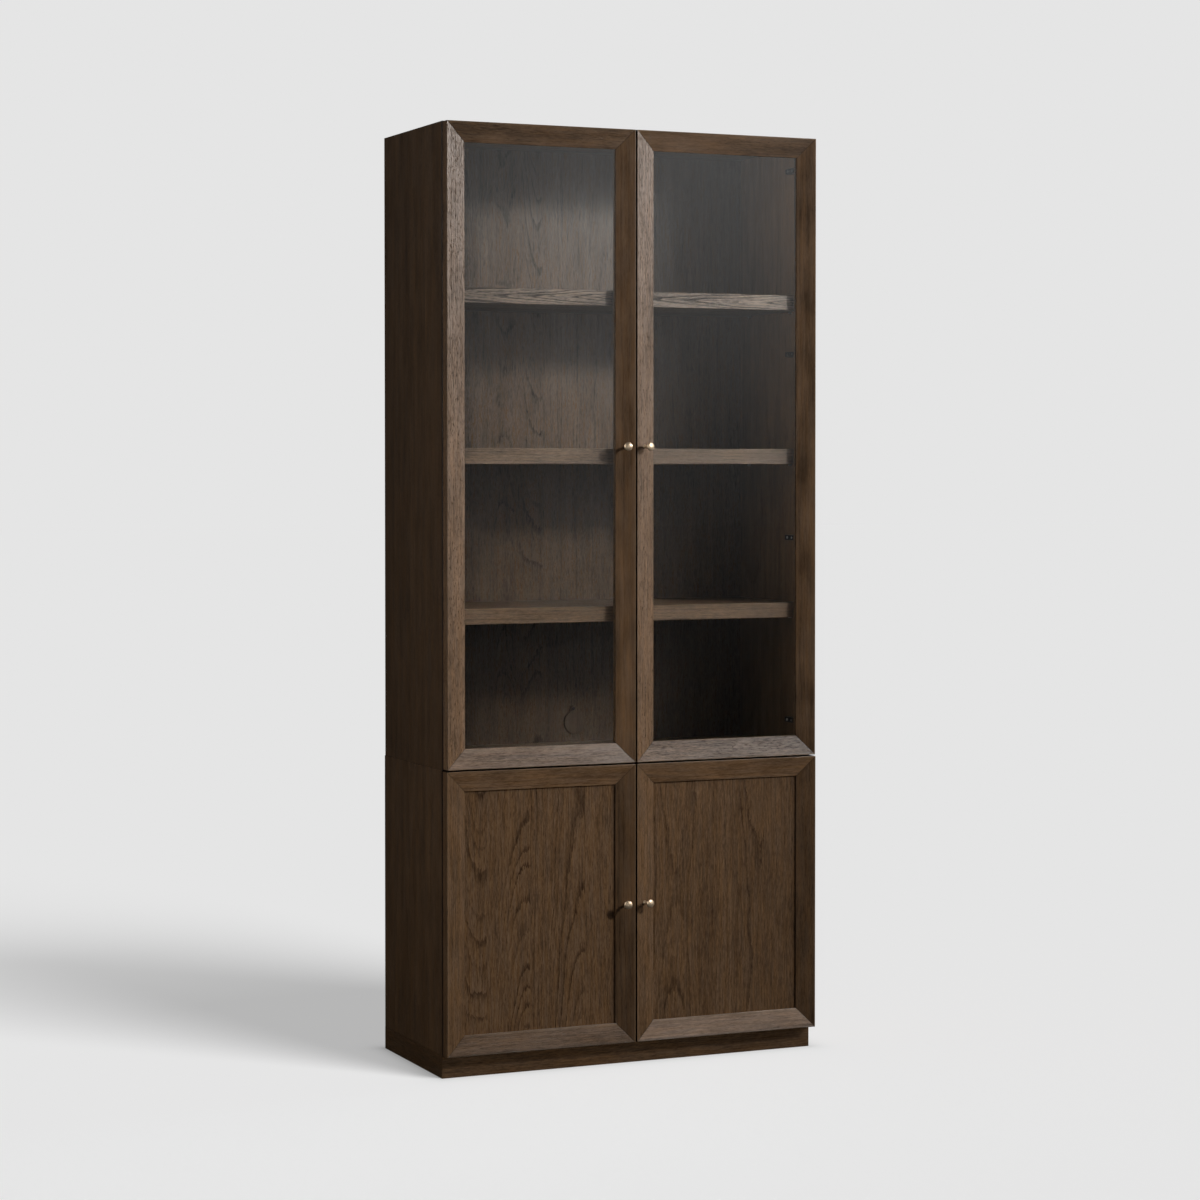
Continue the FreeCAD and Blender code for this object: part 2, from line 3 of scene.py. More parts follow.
import bpy
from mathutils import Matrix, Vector


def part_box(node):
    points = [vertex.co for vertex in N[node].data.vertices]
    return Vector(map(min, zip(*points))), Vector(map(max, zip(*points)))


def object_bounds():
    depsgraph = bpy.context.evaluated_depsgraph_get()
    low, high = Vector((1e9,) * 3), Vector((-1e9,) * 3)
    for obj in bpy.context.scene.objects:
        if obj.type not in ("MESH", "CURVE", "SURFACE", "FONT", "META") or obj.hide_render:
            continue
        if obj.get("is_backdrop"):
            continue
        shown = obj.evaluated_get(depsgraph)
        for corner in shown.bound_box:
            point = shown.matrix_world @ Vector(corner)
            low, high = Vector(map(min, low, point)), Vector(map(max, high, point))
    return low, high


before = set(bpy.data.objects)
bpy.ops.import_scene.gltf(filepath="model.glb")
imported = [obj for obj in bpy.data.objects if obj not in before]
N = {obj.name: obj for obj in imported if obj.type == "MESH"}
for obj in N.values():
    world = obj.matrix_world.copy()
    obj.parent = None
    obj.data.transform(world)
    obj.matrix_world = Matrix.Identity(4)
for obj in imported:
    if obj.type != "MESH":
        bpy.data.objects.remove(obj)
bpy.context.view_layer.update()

scene = bpy.context.scene


# ----------------------------------------------------------------------------
# small node helpers
# ----------------------------------------------------------------------------
class Tree:
    def __init__(self, nt):
        self.nt = nt

    def node(self, kind, **props):
        n = self.nt.nodes.new(kind)
        for k, v in props.items():
            setattr(n, k, v)
        return n

    def link(self, a, b):
        self.nt.links.new(a, b)

    def put(self, socket, value):
        if isinstance(value, bpy.types.NodeSocket):
            self.link(value, socket)
        elif value is not None:
            socket.default_value = value

    def math(self, op, a, b=None, c=None, clamp=False):
        n = self.node("ShaderNodeMath", operation=op, use_clamp=clamp)
        for i, v in enumerate((a, b, c)):
            self.put(n.inputs[i], v)
        return n.outputs[0]

    def add(self, a, b):
        return self.math("ADD", a, b)

    def sub(self, a, b):
        return self.math("SUBTRACT", a, b)

    def mul(self, a, b):
        return self.math("MULTIPLY", a, b)

    def vec(self, x, y, z):
        n = self.node("ShaderNodeCombineXYZ")
        for i, v in enumerate((x, y, z)):
            self.put(n.inputs[i], v)
        return n.outputs[0]

    def split(self, v):
        n = self.node("ShaderNodeSeparateXYZ")
        self.link(v, n.inputs[0])
        return n.outputs[0], n.outputs[1], n.outputs[2]

    def noise(self, vector, scale=1.0, detail=2.0, rough=0.5, dims="3D", lac=2.0):
        n = self.node("ShaderNodeTexNoise", noise_dimensions=dims)
        if dims == "1D":
            self.put(n.inputs["W"], vector)
        else:
            self.put(n.inputs["Vector"], vector)
        n.inputs["Scale"].default_value = scale
        n.inputs["Detail"].default_value = detail
        n.inputs["Roughness"].default_value = rough
        n.inputs["Lacunarity"].default_value = lac
        return n.outputs["Fac"]

    def remap(self, v, a, b, c=0.0, d=1.0, kind="LINEAR", clamp=True):
        n = self.node("ShaderNodeMapRange", interpolation_type=kind, clamp=clamp)
        for i, x in enumerate((v, a, b, c, d)):
            self.put(n.inputs[i], x)
        return n.outputs[0]

    def mix(self, f, a, b, blend="MIX"):
        n = self.node("ShaderNodeMix", data_type="RGBA", blend_type=blend, clamp_factor=True)
        self.put(n.inputs["Factor"], f)
        for name, v in (("A", a), ("B", b)):
            s = [i for i in n.inputs if i.name == name and i.type == "RGBA"][0]
            self.put(s, v if isinstance(v, bpy.types.NodeSocket) else (*v, 1.0))
        return [o for o in n.outputs if o.type == "RGBA"][0]

    def ramp(self, f, stops, mode="LINEAR"):
        n = self.node("ShaderNodeValToRGB")
        n.color_ramp.interpolation = mode
        e = n.color_ramp.elements
        while len(e) > 1:
            e.remove(e[0])
        e[0].position, e[0].color = stops[0][0], (*stops[0][1][:3], stops[0][1][3] if len(stops[0][1]) > 3 else 1.0)
        for pos, col in stops[1:]:
            x = e.new(pos)
            x.color = (*col[:3], col[3] if len(col) > 3 else 1.0)
        self.put(n.inputs[0], f)
        return n


def group(name, ins, outs):
    g = bpy.data.node_groups.new(name, "ShaderNodeTree")
    for n, kind, default in ins:
        s = g.interface.new_socket(n, in_out="INPUT", socket_type=kind)
        if default is not None:
            s.default_value = default
    for n, kind in outs:
        g.interface.new_socket(n, in_out="OUTPUT", socket_type=kind)
    t = Tree(g)
    gi, go = t.node("NodeGroupInput"), t.node("NodeGroupOutput")
    return g, t, {s.name: s for s in gi.outputs}, {s.name: s for s in go.inputs}


# ----------------------------------------------------------------------------
# smoked oak: growth rings cut by a board or a veneer leaf, open pores, streaks
# ----------------------------------------------------------------------------
F, VEC, COL = "NodeSocketFloat", "NodeSocketVector", "NodeSocketColor"
OAK, t, i, o = group(
    "smoked_oak",
    [("A", F, 0.0), ("D", F, 0.0), ("L", F, 0.0),      # across, through and along the grain, in millimetres
     ("Centre", F, 0.0), ("Depth", F, 60.0), ("Taper", F, 0.03), ("Bow", F, 0.0), ("Ring", F, 7.0), ("Reach", F, 45.0), ("Seed", F, 0.0),
     ("Figure", F, 1.0), ("Streak", F, 1.0), ("Pores", F, 1.0), ("Waviness", F, 1.0), ("Mottle", F, 1.0),
     ("Tone", F, 1.0), ("Drift", F, 0.0), ("Gloss", F, 0.36)],
    [("Colour", COL), ("Roughness", F), ("Height", F), ("Lustre", COL)])
A, D, L, seed = i["A"], i["D"], i["L"], i["Seed"]
s1, s2 = t.mul(seed, 17.31), t.mul(seed, 5.77)
# the figure wanders sideways, and the rings rise and sink under the surface
wander = t.noise(t.vec(t.add(t.mul(A, 1 / 90), s1), t.add(t.mul(D, 1 / 90), s2), t.mul(L, 1 / 210)), 1.0, 1.5)
lift = t.noise(t.vec(t.add(s2, t.mul(A, 1 / 60)), s1, t.mul(L, 1 / 110)), 1.0, 1.0)
rag = t.noise(t.vec(t.add(t.mul(A, 1 / 3.4), s2), t.mul(D, 1 / 3.4), t.mul(L, 1 / 16)), 1.0, 2.0)
side = t.sub(A, i["Centre"])
side = t.add(side, t.mul(t.mul(t.sub(wander, 0.5), 26.0), i["Waviness"]))
deep = t.add(i["Depth"], D)
radius = t.math("SQRT", t.add(t.mul(side, side), t.mul(deep, deep)))
near_pith = t.math("DIVIDE", 1.0, t.add(1.0, t.mul(t.mul(side, side), 1 / 6400.0)))
radius = t.add(radius, t.mul(t.mul(L, t.add(i["Taper"], t.mul(i["Bow"], L))), near_pith))
radius = t.add(radius, t.mul(t.mul(t.sub(lift, 0.5), 7.0), i["Waviness"]))
radius = t.add(radius, t.mul(t.sub(rag, 0.5), 2.2))
turn = t.math("DIVIDE", radius, i["Ring"])
uneven = t.noise(t.add(t.mul(turn, 0.37), s1), 1.0, 1.0, dims="1D")
turn = t.add(turn, t.mul(uneven, 1.9))
ring = t.math("FLOOR", turn)
phase = t.math("FRACT", turn)
pick = t.node("ShaderNodeTexWhiteNoise", noise_dimensions="1D")
t.link(t.add(ring, t.mul(seed, 7.13)), pick.inputs["W"])
strength = t.remap(pick.outputs["Value"], 0.05, 0.70, 0.28, 1.0)
# open early wood: narrow dark lines, broken into dashes, clearest around the heart of each figure
dashes = t.noise(t.vec(t.add(t.mul(A, 1 / 1.9), s2), t.mul(D, 1 / 1.9), t.add(t.mul(L, 1 / 24), s1)), 1.0, 2.0, 0.6)
early = t.mul(t.remap(phase, 0.05, 0.36, 1.0, 0.0, "SMOOTHSTEP"), t.remap(phase, 0.0, 0.05, 0.0, 1.0))
early = t.mul(t.mul(early, strength), t.remap(dashes, 0.34, 0.60, 0.30, 1.15))
early = t.mul(early, t.remap(t.math("ABSOLUTE", side), i["Reach"], t.mul(i["Reach"], 2.0), 1.0, 0.22))
late = t.remap(phase, 0.35, 1.0, 0.0, 1.0)
# pores: short open dashes along the grain, crowded in the early wood
porous = t.noise(t.vec(t.add(t.mul(A, 1 / 1.7), s1), t.mul(D, 1 / 1.7), t.mul(L, 1 / 11.0)), 1.0, 2.0, 0.62)
gate = t.remap(t.mul(early, i["Figure"]), 0.0, 1.0, 0.575, 0.44)
pore = t.mul(t.remap(porous, gate, t.add(gate, 0.10), 0.0, 1.0, "SMOOTHSTEP"), i["Pores"])
# fine streaks, soft bands and clouds
streak = t.noise(t.vec(t.add(t.mul(A, 1 / 3.3), s2), t.mul(D, 1 / 3.3), t.mul(L, 1 / 75)), 1.0, 3.0, 0.7)
thread = t.noise(t.vec(t.add(t.mul(A, 1 / 2.5), s1), t.mul(D, 1 / 2.5), t.add(t.mul(L, 1 / 17), s2)), 1.0, 2.0, 0.65)
streak = t.add(t.mul(streak, 0.5), t.mul(thread, 0.5))
band = t.noise(t.vec(t.add(t.mul(A, 1 / 17), s1), t.mul(D, 1 / 17), t.mul(L, 1 / 300)), 1.0, 2.0)
cloud = t.noise(t.vec(t.add(t.mul(A, 1 / 42), s2), t.mul(D, 1 / 42), t.add(t.mul(L, 1 / 110), s1)), 1.0, 2.0)
hue = t.noise(t.vec(t.add(t.mul(A, 1 / 9), s1), t.mul(D, 1 / 9), t.add(t.mul(L, 1 / 90), s2)), 1.0, 2.0)
f = t.add(1.0, t.mul(t.mul(t.sub(streak, 0.5), 3.6), i["Streak"]))
f = t.add(f, t.mul(t.mul(t.sub(band, 0.5), 0.55), i["Mottle"]))
f = t.add(f, t.mul(t.mul(t.sub(cloud, 0.5), 0.55), i["Mottle"]))
f = t.add(f, t.mul(t.mul(t.sub(late, 0.5), i["Figure"]), 0.10))
f = t.math("MAXIMUM", f, 0.15)
dull = t.mul(t.sub(1.0, t.mul(pore, 0.60)), t.sub(1.0, t.math("MINIMUM", t.mul(t.mul(early, 0.70), i["Figure"]), 0.8)))
lustre = t.math("MINIMUM", t.mul(t.mul(f, dull), 0.80), 1.0)
t.link(t.vec(lustre, lustre, lustre), o["Lustre"])
f = t.mul(f, t.add(i["Tone"], t.mul(i["Drift"], t.mul(L, 0.001))))
base = t.mix(t.remap(hue, 0.34, 0.66), (0.1190, 0.0703, 0.0383), (0.1260, 0.0671, 0.0293))
base = t.mix(t.math("MINIMUM", t.mul(t.mul(early, 0.88), i["Figure"]), 0.88), base, (0.034, 0.0178, 0.0082))
base = t.mix(t.math("MINIMUM", t.mul(pore, 0.62), 0.9), base, (0.028, 0.0145, 0.0068))
scaled = t.node("ShaderNodeVectorMath", operation="SCALE")
t.link(base, scaled.inputs[0])
t.link(f, scaled.inputs["Scale"])
t.link(scaled.outputs[0], o["Colour"])
t.link(t.add(t.add(i["Gloss"], t.mul(pore, 0.24)), t.add(t.mul(t.sub(0.5, streak), 0.30), t.mul(early, 0.10))), o["Roughness"])
t.link(t.sub(t.mul(streak, 0.14), t.add(t.mul(pore, 0.20), t.mul(t.mul(early, 0.10), i["Figure"]))), o["Height"])


def oak(name, grain, across, leaves=None, size=(0.0, 1.0), origin=(0.0, 0.0, 0.0), arris=None, mitre=None, spec=0.5, fade=None,
        gap=None, lip=None, sole=None, shade_line=None, inner_light=None, **values):
    """grain and across are the row axes that run along and across the figure. leaves are veneer strips as
    (start, centre, depth, taper, bow, ring, waviness, seed, figure, reach, tone), starts and centres in metres along
    the across axis. arris paints a highlight, broken up by noise, on what lies in front of that y. mitre draws the
    joint lines of a frame, given as its middle and half size in x and z. fade is a tone ramp along z that paints light
    and shade. gap (an axis, a side) is the edge face that looks into the gap beside the next door, painted dark as
    shade. lip and sole are heights of the inner edge of a rail, given a painted highlight, and of its lower edge,
    given painted shade. shade_line is the y of a painted shadow line. inner_light is the x of an inner face and how
    much lighter it is painted; fade then counts for that face alone."""
    m = bpy.data.materials.new(name)
    m.use_nodes = True
    nt = m.node_tree
    nt.nodes.clear()
    t = Tree(nt)
    where = t.node("ShaderNodeTexCoord")
    raw = t.split(where.outputs["Object"])
    axes = "XYZ"
    third = [a for a in axes if a not in (grain, across)][0]
    g = t.node("ShaderNodeGroup", node_tree=OAK)
    for key, axis in (("A", across), ("D", third), ("L", grain)):
        k = axes.index(axis)
        t.link(t.mul(t.sub(raw[k], origin[k]), 1000.0), g.inputs[key])
    for key, v in values.items():
        g.inputs[key].default_value = v
    if leaves:
        lo, hi = size
        k = axes.index(across)
        pos = t.remap(t.sub(raw[k], origin[k]), lo, hi)

        def table(pick):
            r = t.ramp(pos, [((leaf[0] - lo) / (hi - lo) if j else 0.0, pick(leaf)) for j, leaf in enumerate(leaves)], "CONSTANT")
            sep = t.node("ShaderNodeSeparateColor")
            t.link(r.outputs[0], sep.inputs[0])
            return list(sep.outputs[:3]) + [r.outputs[1]]

        u = table(lambda q: (0.5 + q[1], q[2] / 400.0, 0.5 + q[3]))
        v = table(lambda q: (q[7] / 16.0, q[6] / 4.0, q[8] / 2.0))
        w = table(lambda q: (0.5 + q[4] * 1000.0, q[5] / 40.0, q[9] / 400.0, q[10] / 2.0))
        t.link(t.mul(t.sub(u[0], 0.5), 1000.0), g.inputs["Centre"])
        t.link(t.mul(u[1], 400.0), g.inputs["Depth"])
        t.link(t.sub(u[2], 0.5), g.inputs["Taper"])
        t.link(t.mul(v[0], 16.0), g.inputs["Seed"])
        t.link(t.mul(v[1], 4.0), g.inputs["Waviness"])
        t.link(t.mul(v[2], 2.0), g.inputs["Figure"])
        t.link(t.mul(t.sub(w[0], 0.5), 0.001), g.inputs["Bow"])
        t.link(t.mul(w[1], 40.0), g.inputs["Ring"])
        t.link(t.mul(w[2], 400.0), g.inputs["Reach"])
        tone = t.mul(w[3], 2.0 * values.get("Tone", 1.0))
        # fade paints light and shade as a tone ramp along z; with the inner face argument only that face takes it,
        # painted lighter
        if fade:
            r = t.ramp(t.remap(raw[2], 0.0, 2.4), [(z / 2.4, (q / 2.0, q / 2.0, q / 2.0)) for z, q in fade])
            fading = t.mul(r.outputs[0], 2.0)
            if inner_light:
                fading = t.add(1.0, t.mul(t.remap(raw[0], inner_light[0] + 0.0005, inner_light[0] + 0.002, 1.0, 0.0), t.sub(t.mul(fading, inner_light[1]), 1.0)))
            tone = t.mul(tone, fading)
        t.link(tone, g.inputs["Tone"])
    colour = g.outputs["Colour"]
    rough = g.outputs["Roughness"]
    if mitre is not None:
        cx, cz, hx, hz = mitre
        inset_x = t.sub(t.math("ABSOLUTE", t.sub(raw[0], cx)), hx)
        inset_z = t.sub(t.math("ABSOLUTE", t.sub(raw[2], cz)), hz)
        joint = t.remap(t.math("ABSOLUTE", t.sub(inset_x, inset_z)), 0.0004, 0.0022, 0.55, 0.0, "SMOOTHSTEP")
        colour = t.mix(joint, colour, (0.020, 0.011, 0.006))
    # a painted highlight along the front edges of a frame, broken up by noise, for the light caught by the rounded
    # arris
    if arris is not None:
        edge_highlight = t.remap(raw[1], arris, arris + 0.0009, 1.0, 0.0, "SMOOTHSTEP")
        highlight_breakup = t.noise(t.vec(t.mul(raw[0], 90.0), 0.0, t.mul(raw[2], 90.0)), 1.0, 2.0)
        edge_highlight = t.mul(edge_highlight, t.remap(highlight_breakup, 0.3, 0.6, 0.55, 1.0))
        colour = t.mix(t.mul(edge_highlight, 0.6), colour, (0.200, 0.128, 0.072))
        rough = t.sub(rough, t.mul(edge_highlight, 0.06))
    # a painted highlight along the inner top edge of a rail
    if lip is not None:
        edge_highlight = t.remap(t.sub(lip, raw[2]), 0.0015, 0.0060, 0.30, 0.0, "SMOOTHSTEP")
        colour = t.mix(edge_highlight, colour, (0.24, 0.175, 0.125))
    # painted shade along the lower edge of a rail, darker towards the bottom
    if sole is not None:
        colour = t.mix(t.remap(t.sub(raw[2], sole), 0.0, 0.0095, 0.62, 0.0, "SMOOTHSTEP"), colour, (0.010, 0.006, 0.003))
    # a painted shadow line: dark in a band around the given y, where shade falls behind a door and round the cable
    # cover's rim
    if shade_line is not None:
        colour = t.mix(t.remap(t.math("ABSOLUTE", t.sub(raw[1], shade_line)), 0.003, 0.0075, 0.72, 0.0, "SMOOTHSTEP"), colour, (0.006, 0.003, 0.002))
    # the edge faces that look into the gap between doors are painted near black as the shade that falls there
    if gap is not None:
        facing = t.mul(t.split(where.outputs["Normal"])[axes.index(gap[0])], gap[1])
        colour = t.mix(t.mul(t.remap(facing, 0.90, 0.97, 0.0, 0.9), t.remap(raw[1], arris + 0.0004, arris + 0.0012)), colour, (0.002, 0.001, 0.001))
    p = t.node("ShaderNodeBsdfPrincipled")
    t.link(colour, p.inputs["Base Color"])
    t.link(rough, p.inputs["Roughness"])
    p.inputs["IOR"].default_value = 1.5
    p.inputs["Specular IOR Level"].default_value = min(1.0, spec * 1.36)
    t.link(g.outputs["Lustre"], p.inputs["Specular Tint"])
    bump = t.node("ShaderNodeBump")
    bump.inputs["Strength"].default_value = 0.8
    bump.inputs["Distance"].default_value = 0.001
    t.link(g.outputs["Height"], bump.inputs["Height"])
    t.link(bump.outputs[0], p.inputs["Normal"])
    t.link(p.outputs[0], t.node("ShaderNodeOutputMaterial").inputs["Surface"])
    return m


def simple(name, base, rough, metallic=0.0, vary=None, bump=None, spec=0.5):
    m = bpy.data.materials.new(name)
    m.use_nodes = True
    nt = m.node_tree
    nt.nodes.clear()
    t = Tree(nt)
    p = t.node("ShaderNodeBsdfPrincipled")
    p.inputs["Metallic"].default_value = metallic
    p.inputs["Specular IOR Level"].default_value = spec
    obj = t.node("ShaderNodeTexCoord").outputs["Object"]
    scale, amount, other = vary or (300.0, 0.5, base)
    n = t.noise(obj, scale, 3.0, 0.6)
    t.link(t.mix(t.mul(t.remap(n, 0.35, 0.7), amount), base, other), p.inputs["Base Color"])
    t.link(t.remap(n, 0.3, 0.7, rough * 0.85, rough * 1.2), p.inputs["Roughness"])
    if bump:
        b = t.node("ShaderNodeBump")
        b.inputs["Strength"].default_value = bump[1]
        b.inputs["Distance"].default_value = 0.0005
        t.link(t.noise(obj, bump[0], 3.0), b.inputs["Height"])
        t.link(b.outputs[0], p.inputs["Normal"])
    t.link(p.outputs[0], t.node("ShaderNodeOutputMaterial").inputs["Surface"])
    return m


def dress(node, mat):
    me = N[node].data
    me.materials.clear()
    me.materials.append(mat)


# door frames: straight-grained solid oak, each member from a board of its own shade
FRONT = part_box("upper_left_door_top_rail")[0].y
TONES = {   # piece: tone, drift of the tone per metre along the grain, specular level, pores, mottle, streak, gloss
    "upper_left_door_hinge_stile": (1.26, -0.33, 0.38, 1.5, 1.4, 0.85, 0.42), "upper_left_door_lock_stile": (1.22, -0.20, 0.4, 0.15, 1.8, 0.30, 0.36),
    "upper_right_door_lock_stile": (1.12, -0.22, 0.40, 1.3, 1.3, 0.85, 0.42), "upper_right_door_hinge_stile": (0.92, 0.14, 0.25, 0.3, 2.4, 0.35, 0.36),
    "lower_left_door_hinge_stile": (1.12, 0.05, 0.2, 0.7, 1.3, 0.6, 0.36), "lower_left_door_lock_stile": (1.00, 0.30, 0.35, 0.2, 1.5, 0.40, 0.36),
    "lower_right_door_lock_stile": (1.06, 0.20, 0.25, 0.7, 1.3, 0.7, 0.36), "lower_right_door_hinge_stile": (0.76, 0.0, 0.25, 0.5, 1.4, 0.6, 0.36),
    "upper_left_door_top_rail": (0.95, 0.0, 0.42, 0.6, 2.0, 0.75, 0.36), "upper_right_door_top_rail": (0.86, -0.9, 0.42, 0.6, 1.8, 0.75, 0.36),
    "upper_left_door_bottom_rail": (1.20, -1.0, 0.50, 0.7, 1.3, 0.8, 0.36), "upper_right_door_bottom_rail": (0.76, -0.9, 0.34, 1.0, 1.4, 1.1, 0.36),
    "lower_left_door_top_rail": (1.78, -0.6, 0.6, 0.5, 1.4, 0.7, 0.36), "lower_right_door_top_rail": (1.40, -0.6, 0.6, 0.5, 1.4, 0.7, 0.36),
    "lower_left_door_bottom_rail": (0.96, 0.0, 0.33, 0.7, 1.6, 0.75, 0.36), "lower_right_door_bottom_rail": (1.28, -0.4, 0.58, 0.6, 1.6, 0.8, 0.36),
}
for di, door in enumerate(("upper_left_door", "upper_right_door", "lower_left_door", "lower_right_door")):
    lo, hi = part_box(f"{door}_hinge_stile")
    for piece in ("lock_stile", "top_rail", "bottom_rail"):
        a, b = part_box(f"{door}_{piece}")
        lo = Vector([min(u, v) for u, v in zip(lo, a)])
        hi = Vector([max(u, v) for u, v in zip(hi, b)])
    frame_lines = ((lo.x + hi.x) / 2, (lo.z + hi.z) / 2, (hi.x - lo.x) / 2, (hi.z - lo.z) / 2)
    for k, (piece, grain, across) in enumerate((("hinge_stile", "Z", "X"), ("lock_stile", "Z", "X"), ("top_rail", "X", "Z"), ("bottom_rail", "X", "Z"))):
        node = f"{door}_{piece}"
        tone, drift, spec, pores, mottle, streak, gloss = TONES[node]
        lo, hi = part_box(node)
        mid = (lo + hi) / 2
        # arris paints a highlight on the front edges; gap faces are painted dark as shade; the lower doors' bottom
        # rails get a painted highlight on the inner edge and painted shade on the lower edge
        gap = ("X", 1.0 if "left_door" in node else -1.0) if piece == "lock_stile" else None
        if node in ("upper_left_door_bottom_rail", "upper_right_door_bottom_rail"):
            gap = ("Z", -1.0)
        elif node in ("lower_left_door_top_rail", "lower_right_door_top_rail"):
            gap = ("Z", 1.0)
        dress(node, oak(f"oak_{node}", grain, across, origin=tuple(mid), arris=FRONT, mitre=frame_lines, spec=spec, gap=gap,
                        lip=hi.z if piece == "bottom_rail" and di > 1 else None, sole=lo.z if piece == "bottom_rail" and di > 1 else None,
                        Gloss=gloss, Centre=-60.0 - 13 * k + 11 * di, Depth=30.0, Taper=0.012, Ring=7.5, Seed=di * 2.0 + k * 3.1 + 1.3,
                        Figure=0.45, Streak=streak, Pores=pores, Mottle=mottle, Waviness=0.6, Tone=tone, Drift=drift))

# panels of the lower doors: veneer leaves of uneven width that cut through stacked flames and straight grain
dress("lower_left_door_panel", oak(
    "oak_lower_left_panel", "Z", "X", size=(-0.47, -0.02), origin=(0, 0, 0.4), Tone=1.24, spec=0.2, Streak=0.85, Pores=0.6, Mottle=0.7,
    leaves=[(-0.47, -0.406, 30, -0.072, 0.0, 5.0, 0.6, 1.1, 1.1, 36, 1), (-0.394, -0.283, 26, 0.070, -4e-5, 5.0, 0.6, 2.3, 1.1, 34, 1),
            (-0.279, -0.138, 40, 0.040, -5e-5, 5.6, 0.6, 3.9, 1.0, 90, 0.97), (-0.133, 0.06, 80, 0.005, 0.0, 5.0, 0.4, 4.9, 0.3, 45, 0.95)]))
dress("lower_right_door_panel", oak(
    "oak_lower_right_panel", "Z", "X", size=(0.02, 0.47), origin=(0, 0, 0.4), Tone=1.04, spec=0.2, Streak=0.85, Pores=0.5, Mottle=0.7,
    leaves=[(0.02, 0.112, 30, 0.008, -9e-5, 6.4, 0.6, 6.7, 0.85, 70, 1.06), (0.138, 0.205, 50, 0.006, 4e-5, 9.0, 0.8, 7.2, 0.7, 45, 1),
            (0.270, 0.345, 34, -0.010, -4e-5, 6.4, 0.6, 8.6, 0.85, 70, 0.86), (0.362, 0.60, 80, 0.004, 0.0, 5.0, 0.4, 9.4, 0.3, 45, 0.82)]))

# carcass boards
up_leaves = [(-0.49, -0.33, 60, 0.008, 0.0, 5.0, 0.4, 1.7, 0.4, 60, 0.90), (-0.225, -0.200, 14, 0.050, 0.0, 5.0, 1.2, 2.9, 0.9, 30, 0.96),
             (-0.165, -0.1035, 22, -0.060, 0.0, 5.0, 0.7, 4.2, 1.0, 30, 1.03), (-0.092, 0.110, 60, 0.006, 1e-5, 6.0, 0.4, 5.6, 0.6, 140, 1.06),
             (0.070, 0.20, 40, 0.010, 0.0, 6.0, 0.5, 7.1, 0.4, 60, 1), (0.270, 0.33, 24, -0.045, 0.0, 6.0, 0.6, 8.3, 0.4, 40, 0.98),
             (0.365, 0.46, 50, 0.010, 0.0, 6.0, 0.5, 9.9, 0.4, 90, 1)]
# the back panel is painted darker in the lower bays and under the top, in steps at the shelves: painted shade
dress("upper_back_panel", oak("oak_upper_back", "Z", "X", leaves=up_leaves, size=(-0.49, 0.49), origin=(0, 0, 1.5), Tone=0.95, Streak=1.0, Pores=0.5, Mottle=1.1, spec=0.53, Gloss=0.285,
                              fade=[(0.77, 0.46), (1.10, 0.50), (1.16, 0.68), (1.50, 0.72), (1.56, 0.84), (1.95, 0.84), (2.3, 0.66)]))
dress("lower_back_panel", oak("oak_lower_back", "Z", "X", leaves=up_leaves, size=(-0.49, 0.49), origin=(0.03, 0, 0.4), Tone=0.9))
side_leaves = [(-0.19, -0.15, 60, 0.01, 0.0, 8.0, 0.8, 2.2, 0.22, 60, 1.08), (-0.06, -0.01, 50, -0.02, 0.0, 8.0, 0.8, 3.4, 0.26, 60, 1.02),
               (0.05, 0.11, 50, 0.02, 0.0, 8.0, 0.8, 5.2, 0.24, 60, 0.92), (0.16, 0.22, 60, -0.01, 0.0, 8.0, 0.8, 6.3, 0.2, 60, 0.86)]
# each side gets a painted shadow line along its front edge behind the doors; the upper right side's inner face is
# painted lighter, more so towards the top: painted light
for k, (side_name, tone) in enumerate((("upper_left_side", 0.68), ("upper_right_side", 0.85), ("lower_left_side", 0.80), ("lower_right_side", 1.0))):
    dress(side_name, oak(f"oak_{side_name}", "Z", "Y", leaves=side_leaves, size=(-0.19, 0.24), origin=(0, 0, 0.37 * k + 0.3), Tone=tone, spec=0.35,
                         shade_line=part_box(side_name)[0].y, fade=[(0.8, 0.5), (1.3, 0.72), (1.9, 0.95), (2.3, 1.5)] if k == 1 else None, inner_light=(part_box(side_name)[0].x, 1.75),
                         Streak=0.4, Pores=0.4, Mottle=1.2))
for k, name in enumerate(("upper_top", "upper_bottom", "lower_top", "lower_bottom")):
    dress(name, oak(f"oak_{name}", "X", "Y", Centre=30.0 * k - 50, Depth=22.0, Taper=0.05, Ring=6.0, Seed=3.1 * k + 0.4, Figure=0.8, Streak=0.8, Pores=0.6))
for k, (name, tone, drift, spec) in enumerate((("upper_shelf_middle", 0.82, -0.25, 0.44), ("upper_shelf_bottom", 0.80, -0.25, 0.32), ("lower_shelf", 0.9, 0.0, 0.5))):
    lo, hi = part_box(name)
    dress(name, oak(f"oak_{name}", "X", "Z", origin=(0, lo.y, hi.z - 0.019), Centre=-34.0, Depth=25.0, Taper=0.01, Ring=6.0, Seed=2.7 * k + 5.4,
                    Figure=0.6, Streak=0.8, Pores=0.6, Mottle=1.2, Waviness=0.6, Tone=tone, Drift=drift, spec=spec))
lo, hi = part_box("upper_shelf_top")
dress("upper_shelf_top", oak("oak_upper_shelf_top", "X", "Z", origin=(0, lo.y, hi.z - 0.019), Centre=1.0, Depth=4.5, Taper=-0.060, Ring=6.2, Seed=6.6,
                             Figure=3.0, Streak=1.5, Pores=0.8, Mottle=1.8, Waviness=0.5, Tone=0.76, Drift=0.1, spec=0.56))
